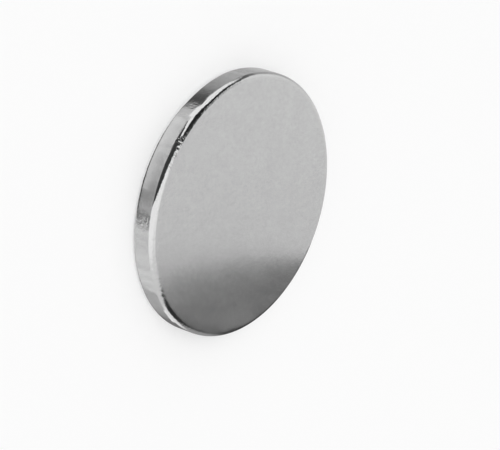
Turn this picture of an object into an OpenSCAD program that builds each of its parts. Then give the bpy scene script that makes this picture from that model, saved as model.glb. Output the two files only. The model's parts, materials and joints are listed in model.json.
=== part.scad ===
// Disc magnet: one sintered block ground to a flat disc, tumbled until its two
// corners are round, and plated all over with bright nickel.
// Origin: centre of the back pole face. +Z: the disc's axis, towards the front
// pole face. The disc lies on its back pole face at Z = 0.

/* [Disc] */
// Diameter across the rim
disc_diameter = 20; // [5:0.5:60]
// Thickness from one pole face to the other
disc_thickness = 2; // [1.2:0.1:20]

/* [Corners] */
// Radius of the tumbled corner between the rim and each pole face
corner_radius = 0.4; // [0.1:0.05:0.55]

/* [Hidden] */
$fn = 128;
rim_radius = disc_diameter / 2;
// Each pole face is flat out to this radius, where its round corner starts
face_radius = rim_radius - corner_radius;
// The rim is straight between the two round corners
rim_height = disc_thickness - 2 * corner_radius;

// Half of the disc's section, from the axis (X = 0) out to the rim.
// Two overlapping rectangles make the pole faces and the rim, and a circle
// tangent to both rounds each corner.
module half_section() {
    square([face_radius, disc_thickness]);
    translate([0, corner_radius])
        square([rim_radius, rim_height]);
    for (corner_centre_z = [corner_radius, disc_thickness - corner_radius])
        translate([face_radius, corner_centre_z])
            circle(r = corner_radius);
}

// The whole magnet: bright nickel outside, with no hole, step or marking.
module magnet_disc() {
    color("silver")
        rotate_extrude()
            half_section();
}

magnet_disc();
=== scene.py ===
import json
import math

import bmesh
import bpy
from mathutils import Matrix, Vector


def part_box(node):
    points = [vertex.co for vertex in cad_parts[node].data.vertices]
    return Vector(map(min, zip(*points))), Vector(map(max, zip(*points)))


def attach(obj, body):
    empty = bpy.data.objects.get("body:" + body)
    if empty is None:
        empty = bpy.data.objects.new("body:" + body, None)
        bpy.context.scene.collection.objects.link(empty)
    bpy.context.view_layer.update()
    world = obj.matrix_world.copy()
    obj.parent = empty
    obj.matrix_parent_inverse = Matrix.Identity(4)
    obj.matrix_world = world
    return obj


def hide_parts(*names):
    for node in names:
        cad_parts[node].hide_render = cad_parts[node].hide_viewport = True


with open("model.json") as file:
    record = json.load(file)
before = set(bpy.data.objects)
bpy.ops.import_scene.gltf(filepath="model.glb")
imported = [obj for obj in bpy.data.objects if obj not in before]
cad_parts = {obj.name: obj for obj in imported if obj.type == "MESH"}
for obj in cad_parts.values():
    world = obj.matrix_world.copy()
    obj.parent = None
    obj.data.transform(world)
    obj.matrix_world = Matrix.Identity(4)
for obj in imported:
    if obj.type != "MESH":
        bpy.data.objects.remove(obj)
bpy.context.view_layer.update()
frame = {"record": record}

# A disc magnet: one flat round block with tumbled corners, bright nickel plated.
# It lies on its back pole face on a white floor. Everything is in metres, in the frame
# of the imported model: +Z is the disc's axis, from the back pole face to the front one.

MM = 0.001
UP = Vector((0, 0, 1))

# ---------------------------------------------------------------- sizes, from the frame

low_corner, high_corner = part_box("magnet_disc")
RIM_RADIUS = (high_corner.x - low_corner.x) / 2
THICKNESS = high_corner.z - low_corner.z
rim_mount = next(m for m in frame["record"]["mounts"] if m["name"] == "rim")
# The rim is straight for the length of its mount, between the two round corners
CORNER_RADIUS = (THICKNESS - rim_mount["dims"]["length_mm"] * MM) / 2
# Each pole face is flat out to this radius
FACE_RADIUS = RIM_RADIUS - CORNER_RADIUS
MID_HEIGHT = THICKNESS / 2

# A small knock on the front corner: where its middle is, in degrees round the disc and up
# the corner, how far from there the mesh is cut finer, and its eight dents, each with its
# turn and tilt from the middle in degrees, its width and its depth
KNOCK_AZIMUTH = 133.3
KNOCK_TILT = 32
KNOCK_REACH = 0.6 * MM
KNOCK_DENTS = (
    (0.0, -2, 0.30 * MM, 0.020 * MM),
    (0.6, -19, 0.23 * MM, 0.024 * MM),
    (-1.0, -14, 0.18 * MM, 0.017 * MM),
    (-1.6, 8, 0.20 * MM, 0.012 * MM),
    (1.7, 4, 0.18 * MM, 0.010 * MM),
    (-1.2, 24, 0.22 * MM, 0.013 * MM),
    (0.8, 20, 0.20 * MM, 0.011 * MM),
    (2.6, 18, 0.16 * MM, 0.007 * MM),
)

# Two faint scuffs half way up the rim: where each is in degrees round the disc, its reach
# and the height of its relief
SCUFFS = (
    (169.5, 0.9 * MM, 0.018 * MM),
    (116.2, 0.7 * MM, 0.013 * MM),
)

# How finely the disc is cut up: steps round the rim, steps round each corner, level bands on
# the straight rim, the widths of the rings on each pole face from the round corner inwards,
# and cuts across each small face where the knock is
RIM_STEPS = 480
CORNER_STEPS = 14
RIM_BANDS = 4
FACE_RINGS = (0.08 * MM, 1.5 * MM, 3 * MM, 3 * MM)
KNOCK_CUTS = 3

# How strongly the large flat faces lead the smooth shading, from 1 to 100, where 50 is by
# their area alone
FLAT_WEIGHT = 80


# ---------------------------------------------------------------- helpers

def direction(azimuth, rise=0):
    """A unit vector that points this many degrees from +X towards +Y, and rises this many
    degrees from level."""
    turn = math.radians(azimuth)
    tilt = math.radians(rise)
    level = math.cos(tilt)
    return Vector((level * math.cos(turn), level * math.sin(turn), math.sin(tilt)))


def feed(tree, socket, value):
    """Gives an input socket a plain value, or links another node's output to it."""
    if isinstance(value, bpy.types.NodeSocket):
        tree.links.new(value, socket)
    else:
        socket.default_value = value


def calc(tree, operation, *values):
    """One Math node, as its output."""
    node = tree.nodes.new("ShaderNodeMath")
    node.operation = operation
    for socket, value in zip(node.inputs, values):
        feed(tree, socket, value)
    return node.outputs[0]


def ease(tree, value, start, end, before, after):
    """Goes smoothly from before to after while value goes from start to end."""
    node = tree.nodes.new("ShaderNodeMapRange")
    node.interpolation_type = "SMOOTHSTEP"
    for name, given in (("Value", value), ("From Min", start), ("From Max", end),
                        ("To Min", before), ("To Max", after)):
        feed(tree, node.inputs[name], given)
    return node.outputs["Result"]


def within(tree, value, centre, half_width, softness):
    """1 where value is within half_width of centre, fading to 0 across the softness."""
    offset = calc(tree, "ABSOLUTE", calc(tree, "SUBTRACT", value, centre))
    return ease(tree, offset, half_width - softness / 2, half_width + softness / 2, 1.0, 0.0)


def blend(tree, below, above, share):
    """below where share is 0, above where it is 1."""
    node = tree.nodes.new("ShaderNodeMix")
    node.data_type = "FLOAT"
    feed(tree, node.inputs["Factor"], share)
    feed(tree, node.inputs["A"], below)
    feed(tree, node.inputs["B"], above)
    return node.outputs["Result"]


def grain(tree, where, size, detail=2.0, roughness=0.5):
    """Soft noise from 0 to 1, with lumps about as wide as size."""
    node = tree.nodes.new("ShaderNodeTexNoise")
    node.noise_dimensions = "3D"
    feed(tree, node.inputs["Vector"], where)
    node.inputs["Scale"].default_value = 1 / size
    node.inputs["Detail"].default_value = detail
    node.inputs["Roughness"].default_value = roughness
    return node.outputs["Fac"]


def own_place(tree):
    """Where a point is on its own object."""
    return tree.nodes.new("ShaderNodeTexCoord").outputs["Object"]


def split(tree, place):
    """The X, Y and Z of a place or a direction."""
    node = tree.nodes.new("ShaderNodeSeparateXYZ")
    feed(tree, node.inputs[0], place)
    return node.outputs


def distance(tree, across, upright):
    """The straight distance to what is this far across and this far up."""
    square_across = calc(tree, "MULTIPLY", across, across)
    square_upright = calc(tree, "MULTIPLY", upright, upright)
    return calc(tree, "SQRT", calc(tree, "ADD", square_across, square_upright))


def grey(tree, tone):
    """A tone as a neutral colour."""
    node = tree.nodes.new("ShaderNodeCombineColor")
    for socket in node.inputs:
        feed(tree, socket, tone)
    return node.outputs["Color"]


def uneven(tree, noise, low, high, spread=0.2):
    """Noise as a value that wanders between low and high. The noise is cut off this spread
    below and above its middle."""
    return ease(tree, noise, 0.5 - spread, 0.5 + spread, low, high)


def about_level(tree, noise, height):
    """Noise as a relief of this height, half above the surface and half below it."""
    return calc(tree, "MULTIPLY", calc(tree, "SUBTRACT", noise, 0.5), height)


def empty_tree(owner):
    """An owner's own node tree, cleared."""
    owner.use_nodes = True
    owner.node_tree.nodes.clear()
    return owner.node_tree


def finish_tree(tree, shader, output_kind="ShaderNodeOutputMaterial"):
    """Makes a shader node the surface of its tree's material or world."""
    output = tree.nodes.new(output_kind)
    tree.links.new(shader.outputs[0], output.inputs["Surface"])


# ---------------------------------------------------------------- the magnet's mesh

def select_where(piece, kind, wanted):
    """Selects only the edges or the faces that pass the test, in edit mode."""
    bpy.ops.mesh.select_mode(type=kind)
    bpy.ops.mesh.select_all(action="DESELECT")
    mesh = bmesh.from_edit_mesh(piece.data)
    parts = mesh.edges if kind == "EDGE" else mesh.faces
    for part in parts:
        part.select = wanted(part)
    mesh.select_flush_mode()
    bmesh.update_edit_mesh(piece.data)


def is_ground_end(face):
    """A pole face is the one many-sided face at each end of the cylinder."""
    return len(face.verts) == RIM_STEPS


def on_sharp_corner(edge):
    """The sharp circle where the rim meets a pole face, before it is tumbled round."""
    heights = [vertex.co.z for vertex in edge.verts]
    return abs(heights[0] - heights[1]) < THICKNESS / 2


def start_block():
    """The pressed and ground block: a plain cylinder with sharp corners."""
    bpy.ops.object.select_all(action="DESELECT")
    bpy.ops.mesh.primitive_cylinder_add(
        vertices=RIM_STEPS, radius=RIM_RADIUS, depth=THICKNESS,
        end_fill_type="NGON", location=(0, 0, MID_HEIGHT))
    block = bpy.context.object
    block.name = "nickel_plated_disc"
    bpy.ops.object.transform_apply(location=True, rotation=True, scale=True)
    return block


def tumble_corners(block):
    """Rounds both circles where the rim meets the pole faces."""
    select_where(block, "EDGE", on_sharp_corner)
    bpy.ops.mesh.bevel(
        offset=CORNER_RADIUS, offset_type="OFFSET", segments=CORNER_STEPS,
        profile=0.5, affect="EDGES", clamp_overlap=False)


def ring_pole_faces(block):
    """Cuts each pole face into rings, the first one close inside the round corner."""
    for width in FACE_RINGS:
        select_where(block, "FACE", is_ground_end)
        bpy.ops.mesh.inset(thickness=width, depth=0)
    select_where(block, "FACE", is_ground_end)
    bpy.ops.mesh.poke()


def ring_rim(block):
    """Cuts the straight rim into level bands."""
    straight = THICKNESS - 2 * CORNER_RADIUS
    for cut in range(1, RIM_BANDS):
        height = CORNER_RADIUS + straight * cut / RIM_BANDS
        bpy.ops.mesh.select_all(action="SELECT")
        bpy.ops.mesh.bisect(plane_co=height * UP, plane_no=UP)


def on_front_corner(azimuth, tilt):
    """A point on the front round corner, and the outward direction there. The azimuth is in
    degrees from +X towards +Y, and the tilt from 0 at the rim to 90 at the pole face."""
    outward = direction(azimuth, tilt)
    corner_centre = FACE_RADIUS * direction(azimuth) + (THICKNESS - CORNER_RADIUS) * UP
    return corner_centre + CORNER_RADIUS * outward, outward


def press_dent(block, place, outward, width, depth):
    """Pushes in one small dent, deepest at its place."""
    mesh = bmesh.from_edit_mesh(block.data)
    for vertex in mesh.verts:
        share = (vertex.co - place).length / (width / 2)
        if share < 1:
            vertex.co -= outward * depth * (1 - share * share) ** 2
    bmesh.update_edit_mesh(block.data)


def knock_corner(block):
    """A small knock on the front corner: a few tiny dents that run into one another."""
    middle, _ = on_front_corner(KNOCK_AZIMUTH, KNOCK_TILT)

    def is_near(face):
        return (face.calc_center_median() - middle).length < KNOCK_REACH

    select_where(block, "FACE", is_near)
    bpy.ops.mesh.subdivide(number_cuts=KNOCK_CUTS, ngon=False, quadcorner="FAN")
    for turn, tilt, width, depth in KNOCK_DENTS:
        place, outward = on_front_corner(KNOCK_AZIMUTH + turn, KNOCK_TILT + tilt)
        press_dent(block, place, outward, width, depth)


def make_disc():
    """The whole magnet, one closed solid."""
    disc = start_block()
    bpy.ops.object.mode_set(mode="EDIT")
    tumble_corners(disc)
    ring_pole_faces(disc)
    ring_rim(disc)
    knock_corner(disc)
    bpy.ops.mesh.select_all(action="SELECT")
    bpy.ops.mesh.normals_make_consistent(inside=False)
    bpy.ops.object.mode_set(mode="OBJECT")
    bpy.ops.object.shade_smooth()
    flat_shading = disc.modifiers.new("flat_pole_faces", "WEIGHTED_NORMAL")
    flat_shading.mode = "FACE_AREA"
    flat_shading.weight = FLAT_WEIGHT
    bpy.ops.object.modifier_apply(modifier=flat_shading.name)
    return disc


# ---------------------------------------------------------------- the nickel plating

# The nickel's grey, from its darkest clouds to its palest, and how far the fine grain and the
# mottling of the ground pole faces go either side of it
NICKEL_TONES = (0.705, 0.725)
GRAIN_TONE = 0.030
MOTTLE_TONE = 0.012
# Roughness of the satin pole faces, how far their speckle goes either side of it, and the
# roughness of the near mirror rim and corners
SATIN_ROUGHNESS = (0.218, 0.238)
SPECKLE_ROUGHNESS = 0.028
MIRROR_ROUGHNESS = (0.05, 0.08)
# Heights of the relief: the grain of the pole faces, then the ripples and the pebbling, each
# on the straight rim and on the round corners
GRAIN_RELIEF = 0.005 * MM
RIPPLE_RELIEF = (0.008 * MM, 0.034 * MM)
PEBBLE_RELIEF = (0.003 * MM, 0.014 * MM)
# How wide the lumps of each of these are
GRAIN_SIZE = 0.13 * MM
SPECKLE_SIZE = 0.14 * MM
MOTTLE_SIZE = 0.4 * MM
CLOUD_SIZE = 2.2 * MM
RIPPLE_SIZE = 0.45 * MM
PEBBLE_SIZE = 0.16 * MM
SCRATCH_SIZE = 0.20 * MM
# The satin fades out from this far inside the edge of the flat pole face to this far beyond
# it, and the stronger relief of the corner over this width beside the rim
SATIN_INSIDE = 0.10 * MM
SATIN_BEYOND = 0.05 * MM
CORNER_FADE = 0.06 * MM


def zones(tree, place):
    """How far a place belongs to a pole face, and how far to a round corner, from 0 to 1."""
    at = split(tree, place)
    radius = distance(tree, at["X"], at["Y"])
    on_face = ease(
        tree, radius, FACE_RADIUS - SATIN_INSIDE, FACE_RADIUS + SATIN_BEYOND, 1.0, 0.0)
    off_rim = ease(tree, radius, RIM_RADIUS - CORNER_FADE, RIM_RADIUS, 1.0, 0.0)
    return on_face, calc(tree, "SUBTRACT", off_rim, on_face)


def ground_grain(tree, place):
    """The fine grain that grinding left on the pole faces."""
    return grain(tree, place, GRAIN_SIZE, detail=4.0, roughness=0.6)


def clouds(tree, place):
    """Broad soft clouds in the plating."""
    return grain(tree, place, CLOUD_SIZE, detail=3.0)


def ripples(tree, place):
    """The slight ripples that tumbling left under the plating."""
    return grain(tree, place, RIPPLE_SIZE, detail=3.0, roughness=0.6)


def pebbles(tree, place):
    """Fine pebbling, longer along the axis than round the disc."""
    stretched = tree.nodes.new("ShaderNodeVectorMath")
    stretched.operation = "MULTIPLY"
    feed(tree, stretched.inputs[0], place)
    stretched.inputs[1].default_value = (1, 1, 0.4)
    return grain(tree, stretched.outputs["Vector"], PEBBLE_SIZE)


def scuff_height(tree, place):
    """How rough the rim is at its faint scuffs, each fading to nothing at its reach."""
    height = 0.0
    for azimuth, reach, deepest in SCUFFS:
        away = tree.nodes.new("ShaderNodeVectorMath")
        away.operation = "DISTANCE"
        feed(tree, away.inputs[0], place)
        away.inputs[1].default_value = RIM_RADIUS * direction(azimuth) + MID_HEIGHT * UP
        mark = ease(tree, away.outputs["Value"], reach / 3, reach, deepest, 0.0)
        height = calc(tree, "MAXIMUM", height, mark)
    return height


def nickel_tone(tree, place, cloudy, fine, on_face):
    """Neutral nickel, a little cloudy, with grain and mottling on the pole faces."""
    plain = uneven(tree, cloudy, *NICKEL_TONES)
    speck = uneven(tree, fine, -GRAIN_TONE, GRAIN_TONE, spread=0.3)
    mottle = uneven(tree, grain(tree, place, MOTTLE_SIZE), -MOTTLE_TONE, MOTTLE_TONE)
    ground = calc(tree, "ADD", plain, calc(tree, "ADD", speck, mottle))
    return blend(tree, plain, ground, on_face)


def nickel_roughness(tree, place, cloudy, rippled, on_face):
    """Satin pole faces with a fine speckle, near mirror elsewhere."""
    satin = uneven(tree, cloudy, *SATIN_ROUGHNESS)
    speckle = grain(tree, place, SPECKLE_SIZE, detail=1.0)
    speckle = uneven(tree, speckle, -SPECKLE_ROUGHNESS, SPECKLE_ROUGHNESS)
    mirror = uneven(tree, rippled, *MIRROR_ROUGHNESS)
    return blend(tree, mirror, calc(tree, "ADD", satin, speckle), on_face)


def nickel_relief(tree, place, fine, rippled, on_face, on_corner):
    """Grain on the pole faces. Slight ripples and the scuffs on the rim, and stronger ripples
    with fine pebbling on the round corners."""
    ground = about_level(tree, fine, GRAIN_RELIEF)
    waves = about_level(tree, rippled, blend(tree, *RIPPLE_RELIEF, on_corner))
    bumps = about_level(tree, pebbles(tree, place), blend(tree, *PEBBLE_RELIEF, on_corner))
    scratches = grain(tree, place, SCRATCH_SIZE, detail=3.0)
    scuffs = about_level(tree, scratches, scuff_height(tree, place))
    tumbled = calc(tree, "ADD", calc(tree, "ADD", waves, bumps), scuffs)
    return blend(tree, tumbled, ground, on_face)


def bright_nickel():
    """Bright nickel: fine satin on the ground pole faces, near mirror on the tumbled rim."""
    material = bpy.data.materials.new("bright_nickel_plate")
    tree = empty_tree(material)
    place = own_place(tree)
    on_face, on_corner = zones(tree, place)
    fine = ground_grain(tree, place)
    cloudy = clouds(tree, place)
    rippled = ripples(tree, place)
    tone = nickel_tone(tree, place, cloudy, fine, on_face)
    roughness = nickel_roughness(tree, place, cloudy, rippled, on_face)
    relief = tree.nodes.new("ShaderNodeBump")
    relief.inputs["Strength"].default_value = 1.0
    relief.inputs["Distance"].default_value = 1.0
    height = nickel_relief(tree, place, fine, rippled, on_face, on_corner)
    feed(tree, relief.inputs["Height"], height)
    surface = tree.nodes.new("ShaderNodeBsdfPrincipled")
    surface.inputs["Metallic"].default_value = 1.0
    feed(tree, surface.inputs["Base Color"], grey(tree, tone))
    feed(tree, surface.inputs["Roughness"], roughness)
    feed(tree, surface.inputs["Normal"], relief.outputs["Normal"])
    finish_tree(tree, surface)
    return material


# ---------------------------------------------------------------- camera

# Where the camera is from the middle of the disc, in degrees from +X towards +Y and up from
# the floor, and the point that it looks at
CAMERA_DISTANCE = 200 * MM
CAMERA_AZIMUTH = 150.45
CAMERA_ELEVATION = 36.51
CAMERA_TARGET = Vector((1.866 * MM, -2.417 * MM, MID_HEIGHT))
# Lens and sensor width, both in mm as a camera states them
CAMERA_LENS = 196.6
CAMERA_SENSOR = 36
# The nearest and the farthest that it sees
CAMERA_NEAR = 0.01
CAMERA_FAR = 20


def make_camera():
    """Looks down on the lying disc, rolled so that +Y points up in the view."""
    away = direction(CAMERA_AZIMUTH, CAMERA_ELEVATION)
    position = MID_HEIGHT * UP + CAMERA_DISTANCE * away
    forward = (CAMERA_TARGET - position).normalized()
    right = forward.cross(Vector((0, 1, 0))).normalized()
    up = right.cross(forward)
    data = bpy.data.cameras.new("studio_camera")
    data.sensor_width = CAMERA_SENSOR
    data.lens = CAMERA_LENS
    data.clip_start = CAMERA_NEAR
    data.clip_end = CAMERA_FAR
    camera = bpy.data.objects.new("studio_camera", data)
    camera.location = position
    camera.rotation_euler = Matrix((right, up, -forward)).transposed().to_euler()
    bpy.context.scene.collection.objects.link(camera)
    bpy.context.scene.camera = camera


# ---------------------------------------------------------------- floor and light

# Levels where 1 is white: the background, the sky's share of the light on the floor, and the
# floor's own colour
BACKGROUND = 0.97
SKY_ON_FLOOR = 0.75
FLOOR_COLOUR = 0.6
FLOOR_RADIUS = 4
FLOOR_SIDES = 96
# The lamp's apparent width, its tilt from straight down and its turn, in degrees
LAMP_WIDTH = 50
LAMP_TILT = 35
LAMP_TURN = 45


def make_floor():
    """A plain white floor. It keeps the disc's shadow, and it blends into the background."""
    bpy.ops.object.select_all(action="DESELECT")
    bpy.ops.mesh.primitive_circle_add(
        vertices=FLOOR_SIDES, radius=FLOOR_RADIUS, fill_type="NGON")
    floor = bpy.context.object
    floor.name = "floor"
    material = bpy.data.materials.new("white_floor")
    tree = empty_tree(material)
    paint = tree.nodes.new("ShaderNodeBsdfDiffuse")
    paint.inputs["Color"].default_value = (FLOOR_COLOUR, FLOOR_COLOUR, FLOOR_COLOUR, 1)
    glow = tree.nodes.new("ShaderNodeEmission")
    rays = tree.nodes.new("ShaderNodeLightPath")
    missing = calc(tree, "MULTIPLY", rays.outputs["Is Camera Ray"], BACKGROUND - FLOOR_COLOUR)
    feed(tree, glow.inputs["Strength"], missing)
    both = tree.nodes.new("ShaderNodeAddShader")
    tree.links.new(paint.outputs[0], both.inputs[0])
    tree.links.new(glow.outputs[0], both.inputs[1])
    finish_tree(tree, both)
    floor.data.materials.append(material)
    floor.visible_glossy = False


def make_key_lamp():
    """A broad soft lamp, high on the -X +Y side. It gives the floor the disc's shadow."""
    data = bpy.data.lights.new("key_lamp", "SUN")
    data.angle = math.radians(LAMP_WIDTH)
    tilt = math.radians(LAMP_TILT)
    data.energy = math.pi * (1 - SKY_ON_FLOOR) / math.cos(tilt)
    lamp = bpy.data.objects.new("key_lamp", data)
    lamp.rotation_euler = (-tilt, 0, math.radians(LAMP_TURN))
    lamp.visible_glossy = False
    bpy.context.scene.collection.objects.link(lamp)


# ---------------------------------------------------------------- what the nickel mirrors

# How bright the studio's white is
STUDIO_WHITE = 1.05
# Tones from black at 0 to that white at 1, by azimuth in degrees from +X towards +Y. The
# first ring is the studio level with the disc, and the second lies below it.
LEVEL_RING = (
    (0, 0.52), (14, 0.47), (34, 0.35), (44, 0.28), (47, 0.46), (50, 0.76), (52.5, 0.90),
    (55, 0.96), (208, 1.0), (222, 0.78), (240, 0.70), (300, 0.63), (326, 0.635), (344, 0.77),
    (360, 0.52),
)
LOWER_RING = (
    (0, 0.50), (22, 0.48), (50, 0.36), (60, 0.20), (69, 0.09), (75, 0.08), (79, 0.20),
    (85, 0.57), (97, 0.63), (112, 0.66), (132, 0.56), (155, 0.45), (167, 0.33), (179, 0.46),
    (185, 0.23), (190, 0.25), (196, 0.66), (250, 0.72), (255, 0.65), (260, 0.46), (268, 0.47),
    (276, 0.43), (286, 0.42), (294, 0.27), (300, 0.19), (322, 0.18), (342, 0.57), (360, 0.50),
)
# The lower ring is mottled between these factors, in lumps this many radians wide
TABLE_MOTTLING = (0.86, 1.14)
TABLE_MOTTLE_SIZE = 0.05
# The elevations, in degrees, where the lower ring gives way to the level one, and where that
# one gives way to white overhead
LOWER_TO_LEVEL = (-35, -31)
LEVEL_TO_WHITE = (44, 84)

# The straight sides of the level dark panel overhead, at a height of 1: the direction that
# faces its inside, in degrees from +X, how far off the side is that way, and its softness
PANEL_SIDES = ((48, 0.215, 0.035), (197.5, -0.615, 0.04), (90, -0.24, 0.04), (270, -1.0, 0.1))
PANEL_TONE = 0.04
# The panel shows only in directions whose unit vector has a Z above this
PANEL_RISE = 0.1

# Soft patches: the middle and the half width round the disc, the lowest and the highest
# elevation and the softness, all in degrees, and the tone. Of those below the disc, the first
# two are painted shade, the disc's own shadow on the floor under it, and the last is pale.
PALE_SIDE = (17, 23, 10, 44, 14, 0.80)
PAINTED_SHADE_AND_PALE_BELOW = (
    # Painted shade: the disc's own shadow on the floor under it
    (140, 55, -100, -57, 8, 0.08),
    (168.5, 19, -100, -43, 5, 0.10),
    # A pale patch below
    (5, 67, -100, -45, 8, 1.0),
)


def ring_of_values(tree, azimuth, stops):
    """Values round the disc, each at its azimuth in degrees, running into one another."""
    node = tree.nodes.new("ShaderNodeValToRGB")
    turn = calc(tree, "FRACT", calc(tree, "DIVIDE", azimuth, 2 * math.pi))
    feed(tree, node.inputs["Fac"], turn)
    elements = node.color_ramp.elements
    while len(elements) < len(stops):
        elements.new(0.5)
    for element, (degrees, value) in zip(elements, stops):
        element.position = degrees / 360
        element.color = (value, value, value, 1)
    return node.outputs["Color"]


def climb(tree, elevation, start, end):
    """Goes from 0 to 1 while the elevation goes from start to end, in degrees."""
    return ease(tree, elevation, math.radians(start), math.radians(end), 0.0, 1.0)


def patch(tree, level, azimuth, elevation, shape):
    """Lays a soft patch over the level."""
    middle, half_width, low, high, softness, tone = shape
    soft = math.radians(softness)
    turned = calc(tree, "SUBTRACT", azimuth, math.radians(middle))
    turned = calc(tree, "WRAP", turned, math.pi, -math.pi)
    across = within(tree, turned, 0.0, math.radians(half_width), soft)
    centre = math.radians((low + high) / 2)
    upright = within(tree, elevation, centre, math.radians((high - low) / 2), soft)
    return blend(tree, level, tone, calc(tree, "MULTIPLY", across, upright))


def overhead_panel(tree, parts):
    """1 in the directions where the dark panel overhead shows, and 0 round it."""
    upward = calc(tree, "MAXIMUM", parts["Z"], PANEL_RISE)
    x = calc(tree, "DIVIDE", parts["X"], upward)
    y = calc(tree, "DIVIDE", parts["Y"], upward)
    shown = calc(tree, "GREATER_THAN", parts["Z"], PANEL_RISE)
    for turn, offset, softness in PANEL_SIDES:
        out_x = calc(tree, "MULTIPLY", x, math.cos(math.radians(turn)))
        out_y = calc(tree, "MULTIPLY", y, math.sin(math.radians(turn)))
        inward = calc(tree, "SUBTRACT", calc(tree, "ADD", out_x, out_y), offset)
        inside = ease(tree, inward, -softness, softness, 0.0, 1.0)
        shown = calc(tree, "MULTIPLY", shown, inside)
    return shown


def studio_tone(tree):
    """What the nickel mirrors far off: a white studio with grey sides, one dark panel
    overhead, and the table that lies lower than the disc, with painted shade where the disc's
    own shadow lies under it."""
    towards = tree.nodes.new("ShaderNodeTexCoord").outputs["Generated"]
    parts = split(tree, towards)
    azimuth = calc(tree, "ARCTAN2", parts["Y"], parts["X"])
    elevation = calc(tree, "ARCSINE", parts["Z"])
    level = ring_of_values(tree, azimuth, LEVEL_RING)
    lower = ring_of_values(tree, azimuth, LOWER_RING)
    mottle = grain(tree, towards, TABLE_MOTTLE_SIZE, detail=3.0)
    lower = calc(tree, "MULTIPLY", lower, uneven(tree, mottle, *TABLE_MOTTLING))
    tone = blend(tree, lower, level, climb(tree, elevation, *LOWER_TO_LEVEL))
    tone = blend(tree, tone, 1.0, climb(tree, elevation, *LEVEL_TO_WHITE))
    tone = patch(tree, tone, azimuth, elevation, PALE_SIDE)
    tone = blend(tree, tone, PANEL_TONE, overhead_panel(tree, parts))
    # Painted shade of the disc's own shadow below it, and one pale patch below
    for shape in PAINTED_SHADE_AND_PALE_BELOW:
        tone = patch(tree, tone, azimuth, elevation, shape)
    return calc(tree, "MULTIPLY", tone, STUDIO_WHITE)


def make_world():
    """White for the camera, an even pale sky for the floor, the studio for the nickel."""
    world = bpy.data.worlds.new("studio")
    bpy.context.scene.world = world
    tree = empty_tree(world)
    rays = tree.nodes.new("ShaderNodeLightPath")
    level = blend(tree, SKY_ON_FLOOR, studio_tone(tree), rays.outputs["Is Glossy Ray"])
    level = blend(tree, level, BACKGROUND, rays.outputs["Is Camera Ray"])
    glow = tree.nodes.new("ShaderNodeBackground")
    glow.inputs["Color"].default_value = (1, 1, 1, 1)
    feed(tree, glow.inputs["Strength"], level)
    finish_tree(tree, glow, "ShaderNodeOutputWorld")


# ---------------------------------------------------------------- cards close to the disc

# How tall the curved cards are, and how far they reach below the floor, both in mm
CARD_HEIGHT = 20
CARD_FOOT = 3
CARD_SIDES = 180
# The edge of a card is kept as shares of this height in mm, counted from the card's foot
EDGE_SCALE = 10


def finish_card(card, tree, tone, solid):
    """Lights a card by itself with its tone, clear where solid is 0. Only the nickel sees
    it, and it lights nothing else."""
    glow = tree.nodes.new("ShaderNodeEmission")
    feed(tree, glow.inputs["Strength"], tone)
    clear = tree.nodes.new("ShaderNodeBsdfTransparent")
    both = tree.nodes.new("ShaderNodeMixShader")
    feed(tree, both.inputs[0], solid)
    tree.links.new(clear.outputs[0], both.inputs[1])
    tree.links.new(glow.outputs[0], both.inputs[2])
    finish_tree(tree, both)
    card.visible_camera = False
    card.visible_diffuse = False
    card.visible_transmission = False
    card.visible_volume_scatter = False
    card.visible_shadow = False


def card_tree(card):
    """The cleared node tree of a card's own material."""
    material = bpy.data.materials.new(card.name)
    card.data.materials.append(material)
    return empty_tree(material)


def even(value):
    """Stops that hold one value all the way round."""
    return (0, value), (360, value)


def edge_height(tree, azimuth, stops):
    """The height of a card's edge, from its height in mm at some azimuths in degrees."""
    shares = tuple((degrees, (height + CARD_FOOT) / EDGE_SCALE) for degrees, height in stops)
    above_foot = calc(tree, "MULTIPLY", ring_of_values(tree, azimuth, shares), EDGE_SCALE * MM)
    return calc(tree, "SUBTRACT", above_foot, CARD_FOOT * MM)


def curved_card(name, radius, start, end, low, high, tones, softness, top_softness,
                density=1.0):
    """A card that stands round part of the disc, from the azimuth start to end, in degrees.
    low and high are the stops of its lower and upper edge, and tones those of its tone.
    The edges are soft, and the upper one fades over its own top softness. A density
    below 1 lets what is behind the card show through."""
    bpy.ops.object.select_all(action="DESELECT")
    bpy.ops.mesh.primitive_cylinder_add(
        vertices=CARD_SIDES, radius=radius, depth=CARD_HEIGHT * MM, end_fill_type="NOTHING",
        location=(0, 0, (CARD_HEIGHT / 2 - CARD_FOOT) * MM))
    card = bpy.context.object
    card.name = name
    bpy.ops.object.transform_apply(location=True, rotation=True, scale=True)
    tree = card_tree(card)
    at = split(tree, own_place(tree))
    azimuth = calc(tree, "ARCTAN2", at["Y"], at["X"])
    centre = math.radians((start + end) / 2)
    across = within(tree, azimuth, centre, math.radians((end - start) / 2), softness / radius)
    over_bottom = calc(tree, "SUBTRACT", at["Z"], edge_height(tree, azimuth, low))
    under_top = calc(tree, "SUBTRACT", edge_height(tree, azimuth, high), at["Z"])
    upright = calc(tree, "MULTIPLY",
                   ease(tree, over_bottom, -softness / 2, softness / 2, 0.0, 1.0),
                   ease(tree, under_top, -top_softness / 2, top_softness / 2, 0.0, 1.0))
    solid = calc(tree, "MULTIPLY", calc(tree, "MULTIPLY", across, upright), density)
    finish_card(card, tree, ring_of_values(tree, azimuth, tones), solid)


def low_dark_card():
    """A dark card that stands on the floor on the far side of the disc."""
    curved_card(
        "low_dark_card", radius=12.4 * MM, start=119, end=165,
        low=((119, -0.3), (128, -0.25), (134, -0.1), (138, 0.05), (164, 0.1)),
        high=((119, 0.0), (122, 0.3), (123.2, 1.3), (126, 1.4), (128, 1.75), (130, 3.6),
              (132, 4.75), (143, 4.75), (150, 4.45), (154, 3.75), (158, 2.75), (160, 2.0),
              (162, 1.2), (164, 0.4)),
        tones=even(0.05), softness=0.45 * MM, top_softness=0.55 * MM)


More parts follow.
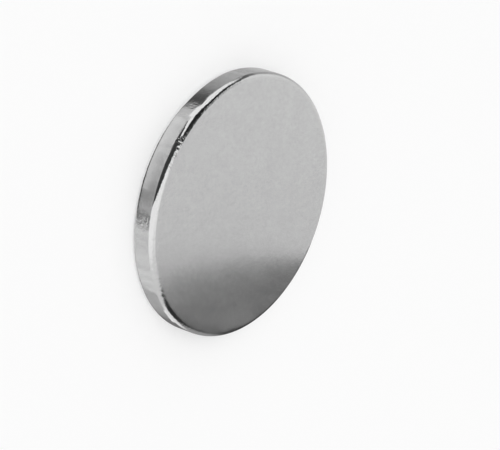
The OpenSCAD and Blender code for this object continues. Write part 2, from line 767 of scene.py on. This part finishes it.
def high_dark_card():
    """A dark card that hangs beside the low one, just above the disc."""
    curved_card(
        "high_dark_card", radius=11 * MM, start=76, end=130,
        low=((76, 0.85), (79, 0.95), (82, 1.1), (84, 1.5), (85.5, 1.75), (87, 1.95),
             (89.2, 2.15), (98, 2.25), (102, 2.5), (106, 2.75), (110, 2.45), (114, 2.15),
             (118, 2.0), (121, 2.05), (124, 2.25), (128, 2.55)),
        high=((76, 1.9), (80, 2.2), (84, 2.6), (87, 3.0), (90, 3.3), (92.5, 4.3), (95, 5.0)),
        tones=((76, 0.22), (84, 0.10), (90, 0.03), (94, 0.02)),
        softness=0.4 * MM, top_softness=1.0 * MM)


def bright_strip():
    """A narrow bright strip under the high dark card."""
    curved_card(
        "bright_strip", radius=11.1 * MM, start=97, end=119,
        low=((97, 0.5), (105, 0.5), (108, 0.68), (110, 0.75), (112.5, 0.45), (119, 0.3)),
        high=even(1.8), tones=even(STUDIO_WHITE), softness=0.3 * MM, top_softness=0.8 * MM)


def floor_glow():
    """A faint bright card below the low dark one, as if the floor there were lit."""
    curved_card(
        "floor_glow", radius=12.5 * MM, start=117, end=158, low=even(-2.8), high=even(-1.1),
        tones=even(1.0), softness=0.3 * MM, top_softness=1.0 * MM, density=0.35)


# The grey card close beside the disc: its size and its gap from the rim
SIDE_CARD_SIZE = 60 * MM
SIDE_CARD_GAP = 0.15 * MM
# Its grey at the foot and higher up, the disc's painted shade low down, and darker towards -X
SIDE_CARD_GREYS = (0.20, 0.25)
SIDE_CARD_PAINTED_SHADE = 0.07
SIDE_CARD_END_TONE = 0.10
# Its mottling, as the size of the lumps and the share by which they change the grey
SIDE_CARD_MOTTLING = ((1.2 * MM, 0.12), (0.45 * MM, 0.4))
# Ovals on it: the X and Z of the middle, the half width and the half height, all in mm, the
# softness and the tone. Each lies over the ones before it: a pale patch, a deep shade, and
# the end, the middle and the foot of a bright glint.
SIDE_CARD_OVALS = (
    (1.3, 4.0, 1.8, 1.5, 0.8, 0.24),
    (-7.2, 5.6, 3.0, 3.1, 0.6, 0.035),
    (-4.8, 1.1, 2.5, 2.2, 0.7, 0.36),
    (-8.6, 0.2, 3.1, 2.3, 0.4, 0.95),
    (-7.0, -1.5, 1.6, 0.8, 0.4, 0.95),
)
# The oval that the card is cut to, in the same way
SIDE_CARD_OUTLINE = (1.5, -2.6, 14.45, 15.6, 0.03)


def oval(tree, at, x, z, half_width, half_height, softness):
    """1 inside an oval on the side card, given in mm, fading to 0 outside it. The softness is
    the width of the fade, as a share of the oval's own size."""
    across = calc(tree, "DIVIDE", calc(tree, "SUBTRACT", at["X"], x * MM), half_width * MM)
    upright = calc(tree, "DIVIDE", calc(tree, "SUBTRACT", at["Z"], z * MM), half_height * MM)
    return within(tree, distance(tree, across, upright), 0.0, 1.0, softness)


def side_card_tone(tree, place, at):
    """A mottled grey, with the disc's painted shade low down in the middle, darker towards -X,
    and with its ovals over it.
    """
    tone = ease(tree, at["Z"], 3 * MM, 11 * MM, *SIDE_CARD_GREYS)
    for size, depth in SIDE_CARD_MOTTLING:
        mottle = uneven(tree, grain(tree, place, size), 1 - depth, 1 + depth)
        tone = calc(tree, "MULTIPLY", tone, mottle)
    # Painted shade: the disc's own shadow, darkest low down near the middle of the card
    low_down = ease(tree, at["Z"], 2.2 * MM, 3.4 * MM, 1.0, 0.0)
    close_by = within(tree, at["X"], 1 * MM, 5 * MM, 3.5 * MM)
    tone = blend(tree, tone, SIDE_CARD_PAINTED_SHADE, calc(tree, "MULTIPLY", low_down, close_by))
    near_end = ease(tree, at["X"], -4 * MM, 0, 1.0, 0.0)
    tone = blend(tree, tone, SIDE_CARD_END_TONE, near_end)
    for *shape, oval_tone in SIDE_CARD_OVALS:
        tone = blend(tree, tone, oval_tone, oval(tree, at, *shape))
    return tone


def side_card_shape(tree, at):
    """An oval with a faint veil over it, cut off at the -X end and along a stepped foot."""
    outline = oval(tree, at, *SIDE_CARD_OUTLINE)
    veil = ease(tree, at["Z"], 12 * MM, 30 * MM, 0.06, 0.0)
    shape = calc(tree, "MAXIMUM", outline, veil)
    foot = ease(tree, at["X"], -8.2 * MM, -5.2 * MM, -2.05 * MM, -1.45 * MM)
    end_foot = ease(tree, at["X"], -8.8 * MM, -7.4 * MM, -0.6 * MM, -2.2 * MM)
    over_foot = calc(tree, "GREATER_THAN", at["Z"], calc(tree, "MAXIMUM", foot, end_foot))
    past_end = ease(tree, at["X"], -10.8 * MM, -9.0 * MM, 0.0, 1.0)
    return calc(tree, "MULTIPLY", shape, calc(tree, "MULTIPLY", over_foot, past_end))


def side_card():
    """A grey card that stands close beside the disc, on the -Y side, with painted shade and
    a painted glint on it.
    """
    bpy.ops.object.select_all(action="DESELECT")
    bpy.ops.mesh.primitive_plane_add(
        size=SIDE_CARD_SIZE, location=(0, -RIM_RADIUS - SIDE_CARD_GAP, 0),
        rotation=(math.radians(90), 0, 0))
    card = bpy.context.object
    card.name = "side_card"
    bpy.ops.object.transform_apply(location=True, rotation=True, scale=True)
    tree = card_tree(card)
    place = own_place(tree)
    at = split(tree, place)
    finish_card(card, tree, side_card_tone(tree, place, at), side_card_shape(tree, at))


# ---------------------------------------------------------------- assembly

disc = make_disc()
disc.data.materials.append(bright_nickel())
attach(disc, "root")
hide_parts("magnet_disc")

bpy.context.scene.view_settings.view_transform = "Standard"
make_camera()
make_floor()
make_key_lamp()
make_world()
low_dark_card()
high_dark_card()
bright_strip()
floor_glow()
side_card()
